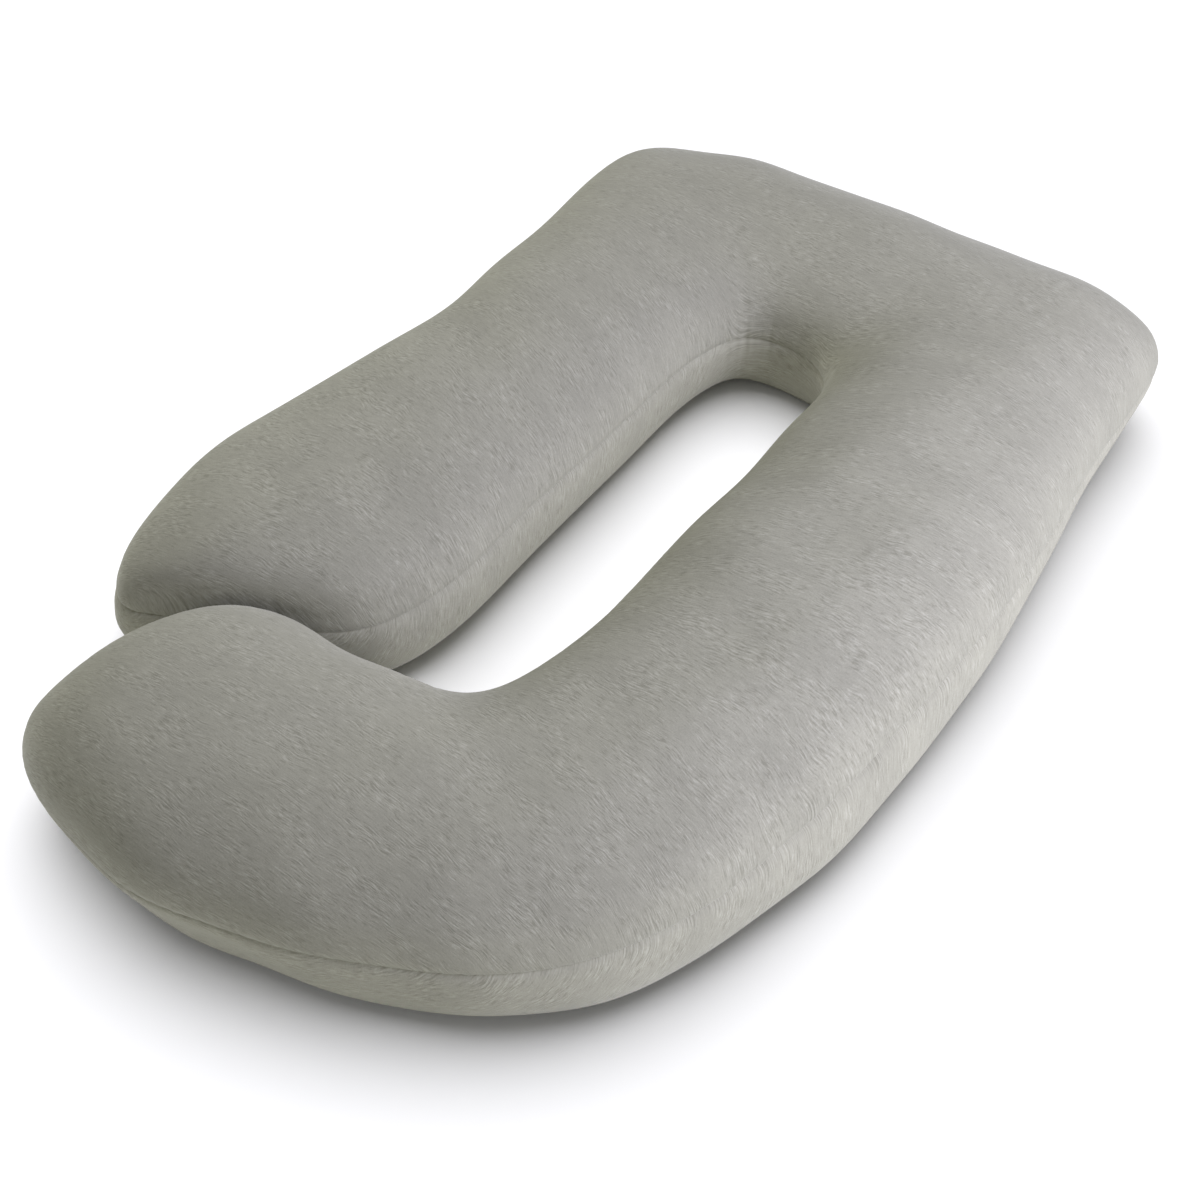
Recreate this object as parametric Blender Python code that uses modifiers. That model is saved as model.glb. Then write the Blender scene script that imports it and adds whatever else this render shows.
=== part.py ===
"""Full-length body pillow, lying flat: one stuffed form that runs up a short arm, round
the head end, down the long arm and round the foot into a hook.

The cover is two jersey panels, top and under, sewn to each other along one seam that
runs all round the rim. The stuffed pillow is one filled solid. It is lofted through the
cross-sections in SECTIONS, which follow each other along the stuffing from the end of
the short arm to the end of the hook, and a Subdivision Surface rounds the loft.

Metres, +Z up, +Y towards the head end, origin under the middle of the pillow on the
surface that it lies on.
"""

from collections import namedtuple

import bmesh
import bpy
from mathutils import Vector

# Driving sizes, in metres. The whole pillow comes out 1.41 long, 0.91 wide and 0.21 thick.
LOFT = 0.205            # crown of a stuffed arm above the surface
HALF_SLOT = 0.090       # half the width of the slot between the two arms
SMOOTHING = 2           # rounds of subdivision that turn the coarse loft into the form

JERSEY_GREY = (0.302, 0.298, 0.266, 1.0)   # linear, a warm grey with a little green
JERSEY_ROUGHNESS = 0.9
JERSEY_METALLIC = 0.0

# A cross-section stands on the line from the seam on the outer side (outer_x, outer_y)
# to the seam on the inner side (inner_x, inner_y).
#   fill    crown height as a share of LOFT
#   seam    height of both seams above the surface
#   spread  how far the under panel bellies out past the seam, or is drawn in if negative
Section = namedtuple("Section", "outer_x outer_y inner_x inner_y fill seam spread")

SECTIONS = (
    # Short arm, from its slanted end up to the head end.
    Section(-0.385, -0.465, -0.170, -0.340, 0.83, 0.100, 0.020),
    Section(-0.445, -0.380, -0.105, -0.285, 0.98, 0.110, 0.015),
    Section(-0.455, -0.260, -HALF_SLOT, -0.170, 1.00, 0.115, 0.010),
    Section(-0.445, -0.115, -HALF_SLOT, -0.060, 1.00, 0.115, 0.010),
    Section(-0.395, 0.075, -HALF_SLOT, 0.065, 1.00, 0.110, 0.005),
    Section(-0.395, 0.265, -HALF_SLOT, 0.185, 1.00, 0.105, 0.005),
    Section(-0.410, 0.445, -HALF_SLOT, 0.295, 1.00, 0.100, 0.000),
    # Round the head end, whose two outer corners are nearly square.
    Section(-0.430, 0.600, -0.075, 0.365, 1.00, 0.100, 0.000),
    Section(-0.345, 0.680, -0.045, 0.390, 1.00, 0.100, 0.000),
    Section(-0.150, 0.695, -0.015, 0.395, 1.00, 0.100, 0.000),
    Section(0.140, 0.700, 0.020, 0.395, 1.00, 0.100, 0.000),
    Section(0.370, 0.710, 0.050, 0.385, 1.00, 0.095, 0.000),
    Section(0.440, 0.640, 0.080, 0.355, 1.00, 0.095, 0.000),
    # Long arm, down to the foot.
    Section(0.415, 0.505, HALF_SLOT, 0.285, 1.00, 0.095, 0.000),
    Section(0.435, 0.345, HALF_SLOT, 0.175, 1.00, 0.100, 0.000),
    Section(0.445, 0.145, HALF_SLOT, 0.055, 1.00, 0.115, 0.015),
    Section(0.435, -0.065, HALF_SLOT, -0.065, 1.00, 0.120, 0.035),
    Section(0.410, -0.255, HALF_SLOT, -0.185, 1.00, 0.120, 0.035),
    Section(0.385, -0.415, 0.070, -0.290, 1.00, 0.120, 0.020),
    # Round the foot and along the hook.
    Section(0.305, -0.540, 0.030, -0.340, 1.00, 0.120, 0.015),
    Section(0.130, -0.650, -0.040, -0.355, 1.00, 0.120, 0.010),
    Section(-0.060, -0.720, -0.140, -0.355, 1.02, 0.110, -0.020),
    Section(-0.220, -0.700, -0.235, -0.355, 1.03, 0.105, -0.025),
    Section(-0.320, -0.655, -0.310, -0.430, 0.86, 0.100, -0.010),
)
ARM_TIP = (-0.290, -0.385, 0.090)    # where the rim closes round the end of the short arm
HOOK_TIP = (-0.350, -0.580, 0.100)   # and round the end of the hook

# The two panels of a section, as shares of it, read from the outer seam over the top to
# the inner seam and back underneath. across is 1 at the outer seam and -1 at the inner
# one. rise is a share of the crown's height above the seam, and drop a share of the
# seam's height above the surface. spread is the share of the section's spread.
TopPoint = namedtuple("TopPoint", "across rise")
UnderPoint = namedtuple("UnderPoint", "across drop spread")

TOP_PANEL = (
    TopPoint(1.00, 0.00),
    TopPoint(0.94, 0.48),
    TopPoint(0.67, 0.82),
    TopPoint(0.26, 1.01),
    TopPoint(-0.26, 1.01),
    TopPoint(-0.67, 0.82),
    TopPoint(-0.94, 0.48),
)
UNDER_PANEL = (
    UnderPoint(-1.00, 0.0, 0.0),
    UnderPoint(-1.00, 0.5, 1.0),
    UnderPoint(-0.90, 1.0, 0.5),
    UnderPoint(-0.45, 1.0, 0.0),
    UnderPoint(0.45, 1.0, 0.0),
    UnderPoint(0.90, 1.0, 0.5),
    UnderPoint(1.00, 0.5, 1.0),
)


def clear_scene():
    """Start from an empty scene."""
    for obj in list(bpy.data.objects):
        bpy.data.objects.remove(obj, do_unlink=True)


def section_ring(section):
    """The closed ring of points of one cross-section, outer seam first."""
    outer = Vector((section.outer_x, section.outer_y, 0.0))
    inner = Vector((section.inner_x, section.inner_y, 0.0))
    middle = (outer + inner) / 2
    half_width = (outer - inner) / 2
    outwards = half_width.normalized()
    crown_over_seam = LOFT * section.fill - section.seam

    ring = []
    for point in TOP_PANEL:
        place = middle + half_width * point.across
        place.z = section.seam + crown_over_seam * point.rise
        ring.append(place)
    for point in UNDER_PANEL:
        side = 1 if point.across > 0 else -1
        place = middle + half_width * point.across + outwards * side * point.spread * section.spread
        place.z = section.seam * (1 - point.drop)
        ring.append(place)
    return ring


def loft_mesh(name):
    """A closed mesh of four-sided faces between the rings, with a fan of faces at each end."""
    rings = [section_ring(section) for section in SECTIONS]
    mesh = bpy.data.meshes.new(name)
    bm = bmesh.new()
    rows = [[bm.verts.new(place) for place in ring] for ring in rings]
    count = len(rows[0])
    for row, following in zip(rows, rows[1:]):
        for step in range(count):
            after = (step + 1) % count
            bm.faces.new((row[step], following[step], following[after], row[after]))
    arm_tip = bm.verts.new(ARM_TIP)
    hook_tip = bm.verts.new(HOOK_TIP)
    for step in range(count):
        after = (step + 1) % count
        bm.faces.new((arm_tip, rows[0][step], rows[0][after]))
        bm.faces.new((hook_tip, rows[-1][after], rows[-1][step]))
    bmesh.ops.recalc_face_normals(bm, faces=bm.faces)
    for face in bm.faces:
        face.smooth = True
    bm.to_mesh(mesh)
    bm.free()
    return mesh


def jersey_material():
    """Matt grey jersey, the same on both panels."""
    material = bpy.data.materials.new("heathered jersey")
    material.use_nodes = True
    shader = material.node_tree.nodes["Principled BSDF"]
    shader.inputs["Base Color"].default_value = JERSEY_GREY
    shader.inputs["Roughness"].default_value = JERSEY_ROUGHNESS
    shader.inputs["Metallic"].default_value = JERSEY_METALLIC
    material.diffuse_color = JERSEY_GREY
    return material


def build_pillow():
    """The stuffed pillow, one closed solid in a collection of its own."""
    collection = bpy.data.collections.new("body pillow")
    bpy.context.scene.collection.children.link(collection)
    pillow = bpy.data.objects.new("pillow", loft_mesh("pillow"))
    collection.objects.link(pillow)
    pillow.data.materials.append(jersey_material())
    rounding = pillow.modifiers.new("stuffed form", "SUBSURF")
    rounding.levels = SMOOTHING
    rounding.render_levels = SMOOTHING
    return pillow


def main():
    clear_scene()
    build_pillow()


main()
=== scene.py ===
"""Looks of the full-length body pillow: heathered grey jersey over loose fibre filling.

The pillow's skin is one smooth surface carried along the stuffing, from the end of the
short arm, round the head end, down the long arm and round the foot to the end of the
hook. It is filled by a cloth simulation, and then gets the sewn seam round its rim, the
puckers that the seam pulls into the cloth, and the soft lumps of the filling.

Metres, +Z up, +Y towards the head end, as in the CAD frame.
"""

import math
from collections import namedtuple

import bpy
import numpy as np
from mathutils import Matrix, Vector

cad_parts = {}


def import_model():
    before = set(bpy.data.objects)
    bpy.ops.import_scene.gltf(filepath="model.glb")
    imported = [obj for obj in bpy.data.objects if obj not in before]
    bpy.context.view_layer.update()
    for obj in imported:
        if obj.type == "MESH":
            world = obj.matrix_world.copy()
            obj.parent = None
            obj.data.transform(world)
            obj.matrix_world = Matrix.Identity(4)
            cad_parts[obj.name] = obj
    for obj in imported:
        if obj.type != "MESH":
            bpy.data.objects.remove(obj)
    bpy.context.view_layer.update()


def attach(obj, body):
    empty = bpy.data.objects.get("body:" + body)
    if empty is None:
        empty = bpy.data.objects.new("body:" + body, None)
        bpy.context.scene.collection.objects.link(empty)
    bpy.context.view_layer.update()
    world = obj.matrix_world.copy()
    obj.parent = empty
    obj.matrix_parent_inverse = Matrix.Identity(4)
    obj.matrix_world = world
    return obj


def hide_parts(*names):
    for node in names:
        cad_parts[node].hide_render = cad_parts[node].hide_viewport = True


MM = 0.001

# ---------------------------------------------------------------- the pillow's sections

LOFT = 0.205            # crown of a stuffed arm above the surface
HALF_SLOT = 0.090       # half the width of the slot between the two arms

# A cross-section stands on the line from the seam on the outer side to the seam on the
# inner side. The sections are the CAD solid's, moved by some millimetres to make up for
# what filling, furrow and lumps do to the outline.
#   fill    crown height as a share of LOFT
#   seam    height of both seams above the surface
#   spread  how far the under panel bellies out past the seam, or is drawn in if negative
Section = namedtuple("Section", "outer_x outer_y inner_x inner_y fill seam spread")

SECTIONS = (
    # Short arm, from its slanted end up to the head end.
    Section(-0.394, -0.468, -0.170, -0.340, 0.83, 0.100, 0.022),
    Section(-0.439, -0.378, -0.105, -0.285, 0.98, 0.110, 0.021),
    Section(-0.455, -0.259, -HALF_SLOT, -0.170, 1.00, 0.115, 0.013),
    Section(-0.446, -0.115, -HALF_SLOT, -0.060, 1.00, 0.115, 0.010),
    Section(-0.393, 0.073, -HALF_SLOT, 0.065, 1.00, 0.110, 0.005),
    Section(-0.404, 0.265, -HALF_SLOT, 0.185, 1.00, 0.105, 0.005),
    Section(-0.407, 0.445, -HALF_SLOT, 0.295, 1.00, 0.100, 0.000),
    # Round the head end, whose two outer corners are nearly square.
    Section(-0.428, 0.596, -0.075, 0.365, 1.00, 0.100, 0.000),
    Section(-0.345, 0.674, -0.045, 0.390, 1.00, 0.100, 0.000),
    Section(-0.150, 0.700, -0.015, 0.395, 1.00, 0.100, 0.000),
    Section(0.139, 0.704, 0.020, 0.395, 1.00, 0.100, 0.000),
    Section(0.381, 0.708, 0.050, 0.385, 1.00, 0.095, -0.004),
    Section(0.434, 0.651, 0.080, 0.355, 1.00, 0.095, -0.025),
    # Long arm, down to the foot.
    Section(0.424, 0.505, HALF_SLOT, 0.285, 1.00, 0.095, -0.002),
    Section(0.436, 0.345, HALF_SLOT, 0.175, 1.00, 0.100, 0.000),
    Section(0.447, 0.143, HALF_SLOT, 0.055, 1.00, 0.115, 0.021),
    Section(0.433, -0.063, HALF_SLOT, -0.065, 1.00, 0.120, 0.039),
    Section(0.410, -0.255, HALF_SLOT, -0.185, 1.00, 0.120, 0.042),
    Section(0.381, -0.411, 0.070, -0.290, 1.00, 0.120, 0.021),
    # Round the foot and along the hook.
    Section(0.303, -0.549, 0.030, -0.340, 1.00, 0.120, 0.019),
    Section(0.130, -0.649, -0.040, -0.355, 1.00, 0.120, 0.007),
    Section(-0.063, -0.715, -0.140, -0.355, 1.02, 0.110, -0.019),
    Section(-0.221, -0.697, -0.235, -0.355, 1.03, 0.105, -0.020),
    Section(-0.322, -0.658, -0.309, -0.435, 0.83, 0.100, -0.009),
)
ARM_TIP = (-0.290, -0.389, 0.092)    # where the rim closes round the end of the short arm
HOOK_TIP = (-0.343, -0.576, 0.090)   # and round the end of the hook

# The outline of a section, read from the outer seam over the top to the inner seam and
# back underneath. across is 1 at the outer seam and -1 at the inner one. rise is a share
# of the crown's height above the seam, drop of the seam's height, spread of the spread.
TopPoint = namedtuple("TopPoint", "across rise")
UnderPoint = namedtuple("UnderPoint", "across drop spread")

TOP_PANEL = (
    TopPoint(1.00, 0.00),
    TopPoint(0.94, 0.48),
    TopPoint(0.67, 0.82),
    TopPoint(0.26, 1.01),
    TopPoint(-0.26, 1.01),
    TopPoint(-0.67, 0.82),
    TopPoint(-0.94, 0.48),
)
UNDER_PANEL = (
    UnderPoint(-1.00, 0.0, 0.0),
    UnderPoint(-1.00, 0.5, 1.0),
    UnderPoint(-0.90, 1.0, 0.5),
    UnderPoint(-0.45, 1.0, 0.0),
    UnderPoint(0.45, 1.0, 0.0),
    UnderPoint(0.90, 1.0, 0.5),
    UnderPoint(1.00, 0.5, 1.0),
)
PANEL_SPANS = len(TOP_PANEL)         # ring spans from one seam to the other, on each panel

# How finely the skin is drawn, and measured to place its rows and columns.
SKIN_ROWS = 600         # rows along the stuffing
PANEL_COLUMNS = 80      # faces across each panel, from seam to seam
SEAM_STEP = 1.6 * MM    # width of the faces beside a seam
OPEN_STEP = 7.5 * MM    # and of those far from one
SEAM_REACH = 20 * MM    # how quickly the one grows into the other
GUIDE_PLACES = 3000     # places along the stuffing where its length is measured
PROFILE_ROWS = 60       # rows where the panels are measured across
PROFILE_PLACES = 400    # and the places on each of them

# ---------------------------------------------------------------- filling and sewing

FILL_ROWS = 300         # the coarser skin that is filled with pressure
FILL_COLUMNS = 40
FILL_STEP = 15 * MM     # width of its faces, alike from seam to seam
FILL_FRAMES = 20
FILL_PRESSURE = 4.0
MOST_SWELL = 6 * MM     # how far filling may move the cloth
SEAM_HOLD = 1.0         # how firmly the seam keeps its place meanwhile
EVENING = 20            # rounds of averaging that even out that movement

SEAM_DEPTH = 3.0 * MM       # how far the sewn line sinks between the two panels
SEAM_WIDTH = 2.6 * MM       # how far from the line the furrow is a third as deep
ROLL_HEIGHT = 0.9 * MM      # the cloth stands proud beside it
ROLL_PLACE = 13 * MM        # at this distance from the line
ROLL_WIDTH = 9 * MM
PUCKER_LENGTH = 15 * MM     # from one fine pucker of the seam to the next
PUCKER_HEIGHT = 0.25 * MM
PUCKER_REACH = 16 * MM      # how far from the line it is a third as high
GATHER_LENGTH = 28 * MM     # from one gather to the next where the seam bends tightly
GATHER_DEPTH = 0.6 * MM     # where its wave is 1 high
GATHER_REACH = 45 * MM
FULL_GATHER = 1.4           # height of its wave above which a gather gets no deeper
TIGHT_BEND = 8.0            # one over the bend's radius in metres where gathers are full
BEND_POINTS = 15            # seam points to either side that its bend is averaged over
LUMP_LENGTH = 160 * MM      # wavelength of the soft lumps of filling
LUMP_HEIGHT = 1.6 * MM
FLOOR_FADE = (0.5 * MM, 25 * MM)    # heights from which and by which all of them come in

RANDOM_SEED = 11
SEAM_WAVES = 24             # waves along the seam that are added up
SEAM_TURNS = (0.7, 1.4)     # the range of their numbers, as shares of the usual number
LUMP_WAVES = 14             # waves in space that are added up
LUMP_LENGTHS = (0.7, 1.6)   # the range of their lengths, as shares of LUMP_LENGTH
BLOCK_ROWS = 40             # rows whose nearest seam points are looked for at one time

# ---------------------------------------------------------------- yarn and cloth

DARK_YARN = "#868576"
MIDDLE_YARN = "#959485"
PALE_YARN = "#a3a293"
UNDER_PAINTED_BOUNCE = (1.09, 1.09, 1.085, 1.0)    # painted light: the under panel is painted a little paler, for the floor's bounce light on it
BLOOM = "#e6e6e0"       # the brushed surface, where it turns away from the eye

SIDE_LAY = 0.30         # how much of its drop the top panel is laid out by at the sides
END_LAY = 0.45          # and at the head end and the foot
UNDER_TURN = 11         # degrees from the top panel's knitted rows to the under panel's
UNDER_LIMITS = (-0.9, 0.999)    # the under panel's share is worked out for these cosines
BOW_MEAN = 0.055        # slope of the knitted rows away from the middle, on the average
BOW_SWING = 0.18        # and how much it changes along the pillow
BOW_PLACE = 0.15        # where along the pillow it is greatest
BOW_LENGTH = 1.1        # and the length over which it comes back
BOW_ROUND = 0.05        # how far to either side of the middle the rows are rounded

WANDER_LENGTH = 40 * MM     # the knitted rows wander over this length
WANDER_HEIGHT = 8 * MM      # and no further than this

# Marks in the cloth are noise drawn out along the knitted rows: length, width and detail.
FLECKS = (13 * MM, 1.6 * MM, 2.0)       # single dark and pale yarns
LONG_FLECKS = (24 * MM, 4.0 * MM, 2.0)  # strands of a few yarns of one tone
PATCHES = (60 * MM, 25 * MM, 1.0)       # where the flecks are strong or weak
CLOUD = (130 * MM, 50 * MM, 2.0)        # faint changes of tone
STITCHES = (1.8 * MM, 1.5 * MM, 1.0)    # knitted grain, drawn coarse enough to show

# ---------------------------------------------------------------- camera, floor, light

PHOTO_PIXELS = 1200
FOCAL_PIXELS = 1600     # the photo's focal length, in its own pixels
SENSOR = 36.0           # millimetres
CAMERA_PLACE = (0.762, -1.109, 1.48)
CAMERA_HEADING = (-0.579, 0.8153)
CAMERA_PITCH = 48.5     # degrees below level

FLOOR_REACH = 12        # metres from the middle to each side of the floor
ROOM_LIGHT = 0.26       # strength of the even light from all round
SOFTBOX_SIZE = 1.5      # metres across
RIGHT_SOFTBOX = (2.0, 0.4, 1.4)     # the stronger one, at the pillow's right
RIGHT_POWER = 84        # watts
RIGHT_COLOUR = "#e8e7ff"
LEFT_SOFTBOX = (-2.2, 0.2, 1.4)
LEFT_POWER = 34
LEFT_COLOUR = "#ffffff"
FLOOR_SUN = (-0.6, 0.9, 3.4)        # where the light that only the floor gets comes from
FLOOR_SUN_STRENGTH = 3.3
FLOOR_SUN_SPREAD = 64   # degrees


def linear(hex_colour):
    """An sRGB hex colour as linear red, green, blue and alpha."""
    channels = np.array([int(hex_colour[i : i + 2], 16) for i in (1, 3, 5)]) / 255
    low = channels / 12.92
    high = ((channels + 0.055) / 1.055) ** 2.4
    return (*np.where(channels <= 0.04045, low, high), 1.0)


# ---------------------------------------------------------------- the skin's surface


def section_cage():
    """Control points of the skin, one row of 14 for each section, as (row, point, xyz).

    A point lies at the section's middle plus half its width times across. Its height is
    the seam's plus rise times the crown's height above it, or the seam's times 1 - drop.
    Two more rows at each end close the surface at its tip. The outer of them is the ring
    with its points changed over, and the inner is (6 tip - ring - outer row) / 4, because
    the spline's weights at a row are 1/6, 4/6 and 1/6.
    """
    table = np.array(SECTIONS)
    outer, inner = table[:, 0:2], table[:, 2:4]
    fill, seam, spread = table[:, 4:5], table[:, 5:6], table[:, 6:7]
    middle, half_width = (outer + inner) / 2, (outer - inner) / 2
    outwards = half_width / np.linalg.norm(half_width, axis=1, keepdims=True)

    top, under = np.array(TOP_PANEL), np.array(UNDER_PANEL)
    across = np.concatenate([top[:, 0], under[:, 0]])
    belly = np.concatenate([np.zeros(len(top)), np.sign(under[:, 0]) * under[:, 2]])
    plan = middle[:, None] + half_width[:, None] * across[:, None]
    plan = plan + outwards[:, None] * (spread * belly)[..., None]
    top_height = seam + (LOFT * fill - seam) * top[:, 1]
    under_height = seam * (1 - under[:, 1])
    height = np.concatenate([top_height, under_height], axis=1)
    rings = np.concatenate([plan, height[..., None]], axis=2)

    def closing_rows(ring, tip):
        opposite = np.roll(ring, PANEL_SPANS, axis=0)
        return (6 * np.array(tip) - ring - opposite) / 4, opposite

    first, before_first = closing_rows(rings[0], ARM_TIP)
    last, after_last = closing_rows(rings[-1], HOOK_TIP)
    return np.concatenate([[before_first, first], rings, [last, after_last]])


def spline_weights(t):
    """The four weights of a uniform cubic B-spline at t, from 0 to 1 within one span."""
    return np.stack(
        [(1 - t) ** 3, 3 * t**3 - 6 * t**2 + 4, -3 * t**3 + 3 * t**2 + 3 * t + 1, t**3],
        axis=-1,
    ) / 6


def along_spline(points, places, closed):
    """Points on the uniform cubic B-spline through an array's first axis.

    places counts control points: place 1 is beside control point 1. A closed spline runs
    round from the last point to the first.
    """
    count = len(points)
    if closed:
        span = np.floor(places).astype(int)
    else:
        span = np.clip(np.floor(places).astype(int), 1, count - 3)
    weights = spline_weights(places - span)
    near = span[:, None] + np.arange(-1, 3)
    near = near % count if closed else near
    return np.einsum("ij,ij...->i...", weights, points[near])


def skin_points(cage, rows, columns):
    """The skin at every row place and every column place, as (row, column, xyz)."""
    along = along_spline(cage, rows, closed=False)
    return along_spline(along.swapaxes(0, 1), columns, closed=True).swapaxes(0, 1)


def lengths_along(points):
    """Distance along a line of points, from its first one."""
    steps = np.linalg.norm(np.diff(points, axis=0), axis=-1)
    return np.concatenate([np.zeros((1,) + steps.shape[1:]), np.cumsum(steps, axis=0)])


def row_places(cage, count):
    """Row places, evenly spaced by the mean length of the two seams and the crown."""
    places = np.linspace(1, len(cage) - 2, GUIDE_PLACES)
    guides = skin_points(cage, places, np.array([0.0, PANEL_SPANS / 2, PANEL_SPANS]))
    length = lengths_along(guides).mean(axis=1)
    return np.interp(np.linspace(0, length[-1], count + 1), length, places)


def column_places(cage, count, seam_step, open_step):
    """Column places over the top and back under, closest together beside the seams.

    The width of a face grows from seam_step to open_step with the distance to the nearest
    seam. It is worked out on the median of a few rows' lengths, and serves every row.
    """
    rows = np.linspace(3, len(cage) - 4, PROFILE_ROWS)
    columns = []
    for panel in (0, 1):
        places = np.linspace(0, PANEL_SPANS, PROFILE_PLACES) + panel * PANEL_SPANS
        length = np.median(lengths_along(skin_points(cage, rows, places).swapaxes(0, 1)), axis=1)
        to_seam = np.minimum(length, length[-1] - length)
        width = open_step + (seam_step - open_step) * np.exp(-to_seam / SEAM_REACH)
        faces = np.concatenate([[0], np.cumsum(np.diff(length) * 2 / (width[1:] + width[:-1]))])
        columns.append(np.interp(np.linspace(0, faces[-1], count + 1)[:-1], faces, places))
    return np.concatenate(columns)


def skin_mesh(name, grid):
    """A closed mesh over a grid of (row, column, xyz) whose first and last rows are points.

    Rows between them are joined by four-sided faces round the ring, and each end is a fan.
    """
    rows, columns = grid.shape[0] - 2, grid.shape[1]
    points = np.concatenate([grid[1:-1].reshape(-1, 3), grid[0, :1], grid[-1, :1]])
    start_tip, end_tip = rows * columns, rows * columns + 1
    ids = np.arange(rows * columns).reshape(rows, columns)
    after = np.roll(ids, -1, axis=1)
    quads = np.stack([ids[:-1], after[:-1], after[1:], ids[1:]], axis=-1).reshape(-1, 4)
    start_fan = np.stack([np.full(columns, start_tip), after[0], ids[0]], axis=-1)
    end_fan = np.stack([np.full(columns, end_tip), ids[-1], after[-1]], axis=-1)
    mesh = bpy.data.meshes.new(name)
    mesh.from_pydata(points, [], quads.tolist() + start_fan.tolist() + end_fan.tolist())
    mesh.shade_smooth()
    return mesh


def grid_normals(grid):
    """Outward unit normals of a closed grid, from its slopes along rows and columns."""
    along = np.gradient(grid, axis=0)
    around = np.roll(grid, -1, axis=1) - np.roll(grid, 1, axis=1)
    normals = np.cross(around, along)
    size = np.linalg.norm(normals, axis=2, keepdims=True)
    normals = normals / np.maximum(size, 1e-12)
    for end, beside in ((0, 1), (-1, -2)):
        mean = normals[beside].mean(axis=0)
        normals[end] = mean / np.linalg.norm(mean)
    return normals


# ---------------------------------------------------------------- filling with pressure


def filled(cage):
    """How far filling moves the skin at each point of a coarse grid, and that grid's places.

    The coarse skin becomes Blender cloth that is blown out by a steady pressure with no
    gravity, while the seam is held. The filling resists being pressed in, so the part of a
    point's movement that goes inwards along its normal is taken off. What is left is
    averaged with its neighbours' a few times, and capped.
    """
    rows = row_places(cage, FILL_ROWS)
    columns = column_places(cage, FILL_COLUMNS, FILL_STEP, FILL_STEP)
    grid = skin_points(cage, rows, columns)
    skin = bpy.data.objects.new("filling_skin", skin_mesh("filling_skin", grid))
    bpy.context.scene.collection.objects.link(skin)
    ids = np.arange((len(rows) - 2) * len(columns)).reshape(len(rows) - 2, len(columns))
    seam = skin.vertex_groups.new(name="seam")
    seam.add(ids[:, (0, FILL_COLUMNS)].ravel().tolist(), SEAM_HOLD, "REPLACE")
    cloth = skin.modifiers.new("filling", "CLOTH")
    settings = cloth.settings
    settings.quality = 6
    settings.mass = 0.3
    settings.tension_stiffness = 25
    settings.compression_stiffness = 25
    settings.shear_stiffness = 8
    settings.bending_stiffness = 1.0
    settings.tension_damping = 12
    settings.compression_damping = 12
    settings.vertex_group_mass = "seam"
    settings.pin_stiffness = 1.0
    settings.use_pressure = True
    settings.uniform_pressure_force = FILL_PRESSURE
    settings.effector_weights.gravity = 0
    cloth.collision_settings.use_collision = False
    cloth.point_cache.frame_start = 1
    cloth.point_cache.frame_end = FILL_FRAMES
    for step in range(1, FILL_FRAMES + 1):
        bpy.context.scene.frame_set(step)

    result = skin.evaluated_get(bpy.context.evaluated_depsgraph_get()).data
    places = np.empty(len(result.vertices) * 3, np.float32)
    result.vertices.foreach_get("co", places)
    places = places.reshape(-1, 3).astype(float)
    body = places[:-2].reshape(len(rows) - 2, len(columns), 3)
    ends = [np.broadcast_to(tip, (1, len(columns), 3)) for tip in places[-2:]]
    move = np.concatenate([ends[0], body, ends[1]]) - grid
    bpy.data.objects.remove(skin, do_unlink=True)
    bpy.context.scene.frame_set(1)

    normals = grid_normals(grid)
    inwards = np.minimum((move * normals).sum(axis=2, keepdims=True), 0)
    move = move - normals * inwards
    for _ in range(EVENING):
        move[1:-1] = (move[:-2] + 2 * move[1:-1] + move[2:]) / 4
        move = (np.roll(move, 1, axis=1) + 2 * move + np.roll(move, -1, axis=1)) / 4
    size = np.linalg.norm(move, axis=2, keepdims=True)
    return rows, columns, move * np.minimum(1, MOST_SWELL / np.maximum(size, 1e-9))


def on_fine_grid(coarse_rows, coarse_columns, values, rows, columns):
    """Values on a coarse grid read at a finer grid's places, linearly along each way."""
    ring = 2 * PANEL_SPANS
    looped_columns = np.append(coarse_columns, ring)
    looped = np.concatenate([values, values[:, :1]], axis=1)
    low = np.clip(np.searchsorted(coarse_rows, rows, "right") - 1, 0, len(coarse_rows) - 2)
    share = (rows - coarse_rows[low]) / (coarse_rows[low + 1] - coarse_rows[low])
    along = looped[low] + (looped[low + 1] - looped[low]) * share[:, None, None]
    low = np.clip(
        np.searchsorted(looped_columns, columns, "right") - 1, 0, len(looped_columns) - 2
    )
    share = (columns - looped_columns[low]) / (looped_columns[low + 1] - looped_columns[low])
    return along[:, low] + (along[:, low + 1] - along[:, low]) * share[None, :, None]


# ---------------------------------------------------------------- seam, puckers and lumps


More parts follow.
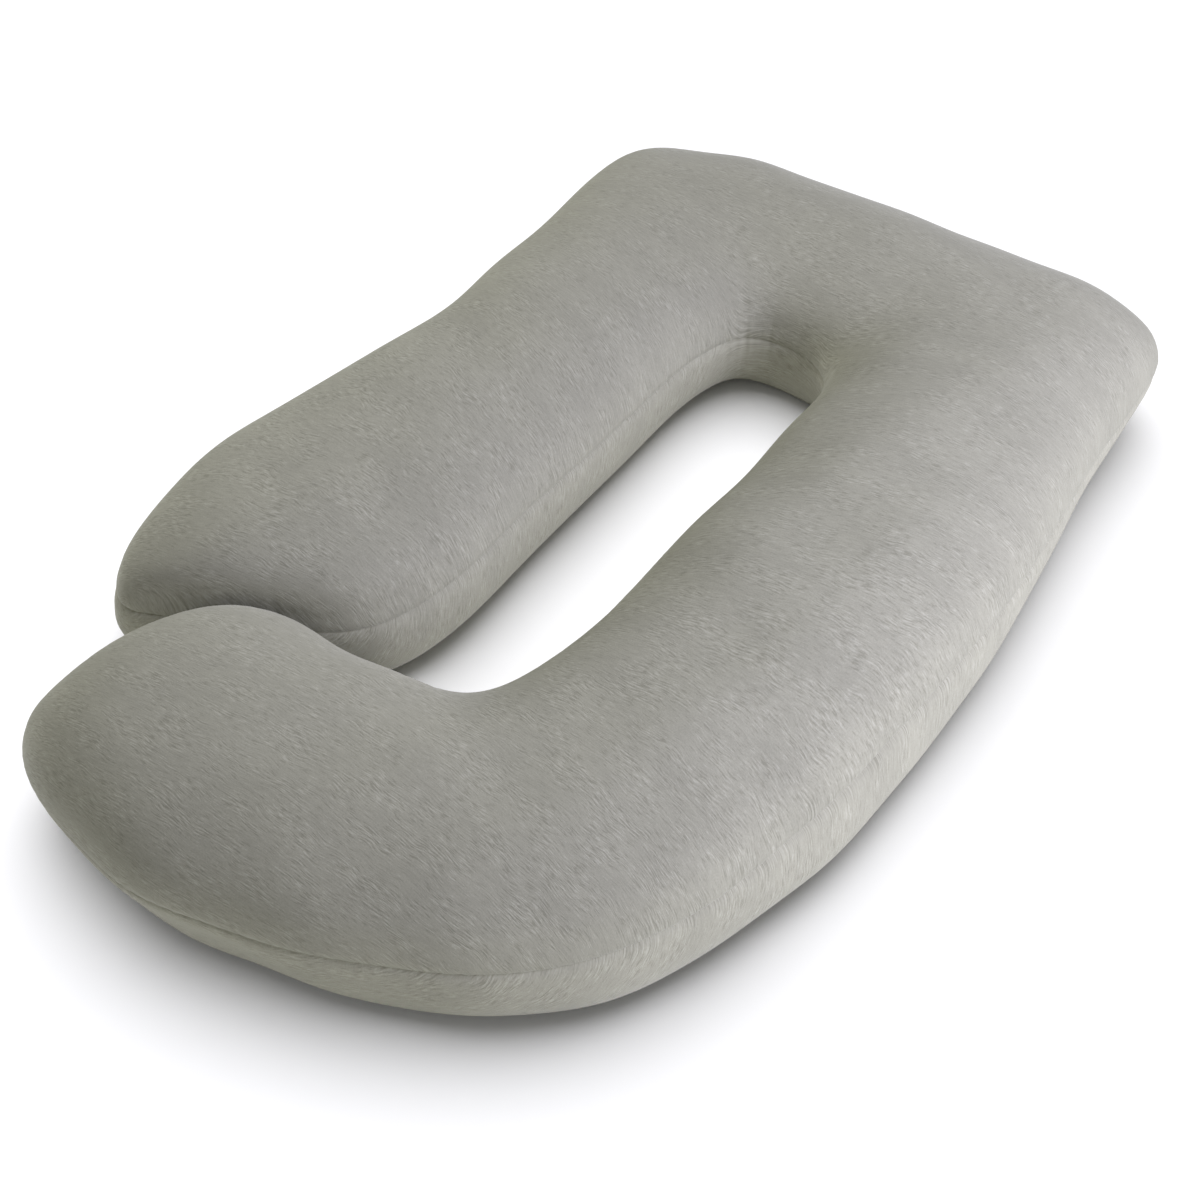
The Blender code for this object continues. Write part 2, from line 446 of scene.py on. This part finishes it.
def nearest_seam(grid):
    """How far each point is from the seam, where along it that is, and how it bends there.

    The seam is one loop: up the outer side from the short arm's tip to the hook's tip, and
    back along the inner side. The nearest of the loop's points is found for one block of
    rows at a time, by the least squared distance. The place is that point's length along
    the loop plus the offset along its tangent, and the distance leaves that offset out.
    The bend is the length of the tangent's change for each metre, averaged over BEND_POINTS
    to either side.
    """
    half = grid.shape[1] // 2
    loop = np.concatenate([grid[:, 0], grid[-2:0:-1, half]])
    length = lengths_along(np.concatenate([loop, loop[:1]]))
    tangent = np.roll(loop, -1, axis=0) - np.roll(loop, 1, axis=0)
    step = np.linalg.norm(tangent, axis=1, keepdims=True)
    tangent = tangent / step
    turn = np.roll(tangent, -1, axis=0) - np.roll(tangent, 1, axis=0)
    bend = np.linalg.norm(turn, axis=1) / step[:, 0]
    looped = np.concatenate([bend[-BEND_POINTS:], bend, bend[:BEND_POINTS]])
    window = 2 * BEND_POINTS + 1
    bend = np.convolve(looped, np.full(window, 1 / window), "valid")

    nearest = np.empty(grid.shape[:2], int)
    for start in range(0, len(grid), BLOCK_ROWS):
        block = grid[start : start + BLOCK_ROWS]
        squared = (loop**2).sum(axis=1) - 2 * block @ loop.T
        nearest[start : start + BLOCK_ROWS] = squared.argmin(axis=2)
    away = grid - loop[nearest]
    offset = (away * tangent[nearest]).sum(axis=2)
    distance = np.sqrt(np.maximum((away**2).sum(axis=2) - offset**2, 0))
    return distance, length[nearest] + offset, length[-1], bend[nearest]


def seam_waves(place, whole, wavelength, seed):
    """Uneven waves along the seam loop, about -1 to 1: a sum of cosines that all close."""
    random = np.random.default_rng(seed)
    usual = whole / wavelength
    turns = np.unique(np.round(usual * random.uniform(*SEAM_TURNS, SEAM_WAVES)).astype(int))
    phases = random.uniform(0, 2 * np.pi, len(turns))
    angle = 2 * np.pi * place[..., None] / whole * turns + phases
    return np.cos(angle).sum(axis=-1) / math.sqrt(len(turns))


def lumps(points, wavelength, seed):
    """Soft lumps in space, about -1 to 1: a sum of plane waves of like length, all ways."""
    random = np.random.default_rng(seed)
    ways = random.normal(size=(LUMP_WAVES, 3))
    ways /= np.linalg.norm(ways, axis=1, keepdims=True)
    phases = random.uniform(0, 2 * np.pi, LUMP_WAVES)
    lengths = wavelength * random.uniform(*LUMP_LENGTHS, LUMP_WAVES)
    waves = np.cos(points @ (ways / lengths[:, None]).T * 2 * np.pi + phases)
    return waves.sum(axis=-1) / math.sqrt(LUMP_WAVES)


def smooth_step(values, low, high):
    """0 below low, 1 above high, and in between 3 times the share's square less 2 cubes."""
    share = np.clip((values - low) / (high - low), 0, 1)
    return share * share * (3 - 2 * share)


def sewn(grid, normals):
    """The skin with its seam furrow, the puckers across it and the lumps of filling.

    Each is a height along the normal. The furrow falls off exponentially from the seam.
    Fine puckers run across the whole seam. Gathers are narrower folds, the square of the
    upper half of their waves, sunk in proportion to how tightly the seam bends. Where the
    pillow lies on the floor all of them fade out.
    """
    distance, place, whole, bend = nearest_seam(grid)
    lift = -SEAM_DEPTH * np.exp(-distance / SEAM_WIDTH)
    lift += ROLL_HEIGHT * np.exp(-(((distance - ROLL_PLACE) / ROLL_WIDTH) ** 2))
    puckers = seam_waves(place, whole, PUCKER_LENGTH, RANDOM_SEED)
    lift += PUCKER_HEIGHT * puckers * np.exp(-distance / PUCKER_REACH)
    gathers = seam_waves(place, whole, GATHER_LENGTH, RANDOM_SEED + 1)
    folds = np.clip(gathers, 0, FULL_GATHER) ** 2
    tight = np.clip(bend / TIGHT_BEND, 0, 1)
    lift -= GATHER_DEPTH * folds * tight * np.exp(-distance / GATHER_REACH)
    lift += LUMP_HEIGHT * lumps(grid, LUMP_LENGTH, RANDOM_SEED)
    off_floor = smooth_step(grid[..., 2], *FLOOR_FADE)
    return grid + normals * (lift * off_floor)[..., None]


# ---------------------------------------------------------------- the cloth's own map


def cloth_maps(grid, normals):
    """Where each point lies on the flat top panel and on the flat under panel, in metres.

    That is its place in plan, moved out along the plan part of its normal: by a share of
    its drop below the crown on the top panel, and of its height on the under panel. The
    third power of the normal's y keeps the top panel's larger share to where the rim faces
    the ends. The under panel's share is (tilt - sin tilt) / ((1 - cos tilt) sin tilt), which
    lays a round flank out at its true length, where tilt is the normal's angle from straight
    down. Its map is then turned, because its cloth was cut at another angle.
    The stuffing bows the knitted rows, so x times their slope is taken off y, where the
    slope is its mean plus its swing times the cosine of the turn along the pillow.
    """
    plan, out, height = grid[..., :2], normals[..., :2], grid[..., 2:]
    lay = np.stack([SIDE_LAY * out[..., 0], END_LAY * out[..., 1] ** 3], axis=-1)
    turn = 2 * np.pi * (plan[..., 1] - BOW_PLACE) / BOW_LENGTH
    bow = np.zeros_like(plan)
    bow[..., 1] = np.hypot(plan[..., 0], BOW_ROUND) * (BOW_MEAN + BOW_SWING * np.cos(turn))
    top = plan - bow + lay * (LOFT - height)
    angle = math.radians(UNDER_TURN)
    cosine, sine = math.cos(angle), math.sin(angle)
    tilt = np.arccos(np.clip(-normals[..., 2:], *UNDER_LIMITS))
    share = (tilt - np.sin(tilt)) / ((1 - np.cos(tilt)) * np.sin(tilt))
    under = (plan + out * share * height) @ np.array([[cosine, -sine], [sine, cosine]])
    return top, under


# ---------------------------------------------------------------- materials


def add_node(tree, kind, settings=None, inputs=None):
    """Adds a shader node. An input that is itself a socket is linked, and any other is set.

    Inputs go by name, or by number where a node has several of one name.
    """
    node = tree.nodes.new(kind)
    for name, value in (settings or {}).items():
        setattr(node, name, value)
    for name, value in (inputs or {}).items():
        if isinstance(value, bpy.types.NodeSocket):
            tree.links.new(value, node.inputs[name])
        else:
            node.inputs[name].default_value = value
    return node


def heathered_jersey():
    """Single jersey knitted from mixed grey yarns and softly brushed.

    The eye sees a matt grey with fine light and dark flecks along the yarn, a faint cloudy
    change of tone, a soft pale bloom where the surface turns away, and the under panel
    painted a little paler than the top one, as painted light for the floor's bounce on it.
    """
    material = bpy.data.materials.new("heathered jersey")
    material.use_nodes = True
    tree = material.node_tree
    shader = tree.nodes["Principled BSDF"]
    cloth = add_node(tree, "ShaderNodeUVMap", {"uv_map": "cloth"}).outputs["UV"]

    # The rows wander a little, as knitted cloth over soft filling does.
    wander = add_node(
        tree,
        "ShaderNodeTexNoise",
        {"noise_dimensions": "2D"},
        {"Vector": cloth, "Scale": 1 / WANDER_LENGTH, "Detail": 1.0},
    )
    cloth = add_node(
        tree,
        "ShaderNodeVectorMath",
        {"operation": "MULTIPLY_ADD"},
        {0: wander.outputs["Color"], 1: (0, WANDER_HEIGHT, 0), 2: cloth},
    ).outputs[0]

    layers = []
    for length, width, detail in (FLECKS, LONG_FLECKS, PATCHES, CLOUD, STITCHES):
        scale = (1 / length, 1 / width, 1)
        place = add_node(tree, "ShaderNodeMapping", inputs={"Vector": cloth, "Scale": scale})
        noise = add_node(
            tree,
            "ShaderNodeTexNoise",
            {"noise_dimensions": "2D"},
            {"Vector": place.outputs[0], "Scale": 1.0, "Detail": detail, "Roughness": 0.6},
        )
        layers.append(noise.outputs["Fac"])
    flecks, long_flecks, patches, cloud, stitches = layers

    # Flecks are strong in some patches and weak in others.
    strength = add_node(
        tree,
        "ShaderNodeMapRange",
        inputs={"Value": patches, 1: 0.35, 2: 0.65, 3: 0.6, 4: 1.25},
    )
    uneven = add_node(
        tree,
        "ShaderNodeMix",
        {"data_type": "FLOAT", "clamp_factor": False},
        {0: strength.outputs[0], 2: 0.5, 3: flecks},
    )
    # Dark yarn lies a little sunk (0) in the plain ground (a half), and pale yarn proud (1).
    relief = add_node(tree, "ShaderNodeValToRGB", inputs={"Fac": uneven.outputs[0]})
    stops = relief.color_ramp.elements
    stops[0].position = 0.30
    stops[1].position = 0.73
    stops.new(0.46).color = (0.5, 0.5, 0.5, 1.0)
    stops.new(0.56).color = (0.5, 0.5, 0.5, 1.0)
    yarn = add_node(tree, "ShaderNodeValToRGB", inputs={"Fac": relief.outputs["Color"]})
    stops = yarn.color_ramp.elements
    stops[0].color = linear(DARK_YARN)
    stops[1].color = linear(PALE_YARN)
    stops.new(0.5).color = linear(MIDDLE_YARN)

    # A layer's marks change the yarn's tone by a few hundredths to either side.
    tones = []
    for marks, low, high, change in (
        (long_flecks, 0.35, 0.65, 0.035),
        (cloud, 0.30, 0.70, 0.045),
        (stitches, 0.30, 0.70, 0.05),
    ):
        tone = add_node(
            tree,
            "ShaderNodeMapRange",
            inputs={"Value": marks, 1: low, 2: high, 3: 1 - change, 4: 1 + change},
        )
        tones.append(tone.outputs[0])
    tone = tones[0]
    for factor in tones[1:]:
        product = add_node(
            tree, "ShaderNodeMath", {"operation": "MULTIPLY"}, {0: tone, 1: factor}
        )
        tone = product.outputs[0]

    # Painted light: the under panel's colour is raised a little, standing for the floor's bounce
    # light on the lower band.
    under = add_node(tree, "ShaderNodeAttribute", {"attribute_name": "under_panel"})
    painted_bounce = add_node(
        tree,
        "ShaderNodeMix",
        {"data_type": "RGBA"},
        {0: under.outputs["Fac"], 6: (1.0, 1.0, 1.0, 1.0), 7: UNDER_PAINTED_BOUNCE},
    )
    colour = yarn.outputs["Color"]
    for factor in (tone, painted_bounce.outputs[2]):
        product = add_node(
            tree,
            "ShaderNodeMix",
            {"data_type": "RGBA", "blend_type": "MULTIPLY"},
            {0: 1.0, 6: colour, 7: factor},
        )
        colour = product.outputs[2]

    bump = add_node(
        tree,
        "ShaderNodeBump",
        inputs={"Height": relief.outputs["Color"], "Strength": 0.8, "Distance": 0.24 * MM},
    )
    tree.links.new(colour, shader.inputs["Base Color"])
    tree.links.new(bump.outputs["Normal"], shader.inputs["Normal"])
    shader.inputs["Roughness"].default_value = 0.92
    shader.inputs["Specular IOR Level"].default_value = 0.15
    shader.inputs["Sheen Weight"].default_value = 0.25
    shader.inputs["Sheen Roughness"].default_value = 0.45
    shader.inputs["Sheen Tint"].default_value = linear(BLOOM)
    return material


def white_floor_material():
    """Matt white board, which takes a soft grey shadow and no gloss."""
    material = bpy.data.materials.new("matt white board")
    material.use_nodes = True
    shader = material.node_tree.nodes["Principled BSDF"]
    shader.inputs["Base Color"].default_value = linear("#f3f3f6")
    shader.inputs["Roughness"].default_value = 1.0
    shader.inputs["Specular IOR Level"].default_value = 0.0
    return material


# ---------------------------------------------------------------- the piece


def add_cloth_map(mesh, grid, normals):
    """Gives the mesh its flat-panel map, each face from its own panel's side of the seam.

    A face attribute says which faces are the under panel's.
    """
    half = grid.shape[1] // 2
    top, under = cloth_maps(grid, normals)
    looped = np.concatenate([under[:, half:], under[:, :1]], axis=1)
    left = np.concatenate([top[:, :half], looped[:, :-1]], axis=1)
    right = np.concatenate([top[:, 1 : half + 1], looped[:, 1:]], axis=1)
    body_left, body_right = left[1:-1], right[1:-1]
    quads = np.stack(
        [body_left[:-1], body_right[:-1], body_right[1:], body_left[1:]], axis=2
    ).reshape(-1, 2)
    start = np.stack([left[0], body_right[0], body_left[0]], axis=1).reshape(-1, 2)
    end = np.stack([left[-1], body_left[-1], body_right[-1]], axis=1).reshape(-1, 2)
    layer = mesh.uv_layers.new(name="cloth")
    layer.data.foreach_set("uv", np.concatenate([quads, start, end]).astype(np.float32).ravel())
    is_under = (np.arange(len(mesh.polygons)) % (2 * half) >= half).astype(np.float32)
    mesh.attributes.new("under_panel", "FLOAT", "FACE").data.foreach_set("value", is_under)


def build_pillow():
    """The dressed pillow: its skin is filled, and then sewn."""
    cage = section_cage()
    rows = row_places(cage, SKIN_ROWS)
    columns = column_places(cage, PANEL_COLUMNS, SEAM_STEP, OPEN_STEP)
    grid = skin_points(cage, rows, columns)
    grid = grid + on_fine_grid(*filled(cage), rows, columns)
    grid[..., 2] = np.maximum(grid[..., 2], 0)
    normals = grid_normals(grid)
    skin = skin_mesh("stuffed_pillow", sewn(grid, normals))
    add_cloth_map(skin, grid, normals)
    pillow = bpy.data.objects.new("stuffed_pillow", skin)
    bpy.context.scene.collection.objects.link(pillow)
    skin.materials.append(heathered_jersey())
    return pillow


# ---------------------------------------------------------------- camera, floor and light


def add_camera():
    """Looks down at the pillow from in front of the foot, as in the photo."""
    data = bpy.data.cameras.new("camera")
    data.sensor_width = SENSOR
    data.lens = SENSOR * FOCAL_PIXELS / PHOTO_PIXELS
    camera = bpy.data.objects.new("camera", data)
    pitch = math.radians(CAMERA_PITCH)
    heading = Vector((*CAMERA_HEADING, 0)).normalized()
    forward = heading * math.cos(pitch) - Vector((0, 0, 1)) * math.sin(pitch)
    turn = forward.to_track_quat("-Z", "Y").to_matrix().to_4x4()
    camera.matrix_world = Matrix.Translation(CAMERA_PLACE) @ turn
    bpy.context.scene.collection.objects.link(camera)
    bpy.context.scene.camera = camera


def add_floor():
    """The pale floor that the pillow lies on, which isn't part of it."""
    side = FLOOR_REACH
    corners = ((-side, -side, 0), (side, -side, 0), (side, side, 0), (-side, side, 0))
    mesh = bpy.data.meshes.new("floor")
    mesh.from_pydata(corners, [], [(0, 1, 2, 3)])
    floor = bpy.data.objects.new("floor", mesh)
    floor.data.materials.append(white_floor_material())
    bpy.context.scene.collection.objects.link(floor)
    return floor


def add_light(name, data, place, lit):
    """A light that faces the pillow and reaches only one object."""
    light = bpy.data.objects.new(name, data)
    towards = Vector((0, 0, LOFT / 2)) - Vector(place)
    turn = towards.to_track_quat("-Z", "Y").to_matrix().to_4x4()
    light.matrix_world = Matrix.Translation(place) @ turn
    bpy.context.scene.collection.objects.link(light)
    reached = bpy.data.collections.new(name)
    reached.objects.link(lit)
    light.light_linking.receiver_collection = reached


def light_studio(pillow, floor):
    """An even pale room, a softbox at either side, and a wide sun for the floor alone.

    The softbox at the right is the stronger, so the pillow's right flank is its brightest.
    The floor's own light stands behind and to the left, so the pillow's soft shadow falls
    to the front and right, as in the photo. The room lights the pillow faintly, and is a
    white backdrop where the camera sees it.
    """
    world = bpy.data.worlds.new("studio")
    bpy.context.scene.world = world
    world.use_nodes = True
    tree = world.node_tree
    background = tree.nodes["Background"]
    background.inputs["Color"].default_value = linear("#ffffff")
    background.inputs["Strength"].default_value = ROOM_LIGHT
    backdrop = add_node(tree, "ShaderNodeBackground", inputs={"Color": linear("#ffffff")})
    seen = add_node(
        tree,
        "ShaderNodeMixShader",
        inputs={
            0: add_node(tree, "ShaderNodeLightPath").outputs["Is Camera Ray"],
            1: background.outputs[0],
            2: backdrop.outputs[0],
        },
    )
    tree.links.new(seen.outputs[0], tree.nodes["World Output"].inputs["Surface"])
    for name, place, power, colour in (
        ("right_softbox", RIGHT_SOFTBOX, RIGHT_POWER, RIGHT_COLOUR),
        ("left_softbox", LEFT_SOFTBOX, LEFT_POWER, LEFT_COLOUR),
    ):
        softbox = bpy.data.lights.new(name, "AREA")
        softbox.shape = "DISK"
        softbox.size = SOFTBOX_SIZE
        softbox.energy = power
        softbox.color = linear(colour)[:3]
        add_light(name, softbox, place, pillow)
    sun = bpy.data.lights.new("floor_light", "SUN")
    sun.energy = FLOOR_SUN_STRENGTH
    sun.angle = math.radians(FLOOR_SUN_SPREAD)
    add_light("floor_light", sun, FLOOR_SUN, floor)
    bpy.context.scene.view_settings.view_transform = "Standard"


def main():
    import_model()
    add_camera()
    floor = add_floor()
    pillow = build_pillow()
    light_studio(pillow, floor)
    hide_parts("pillow")
    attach(pillow, "root")


main()
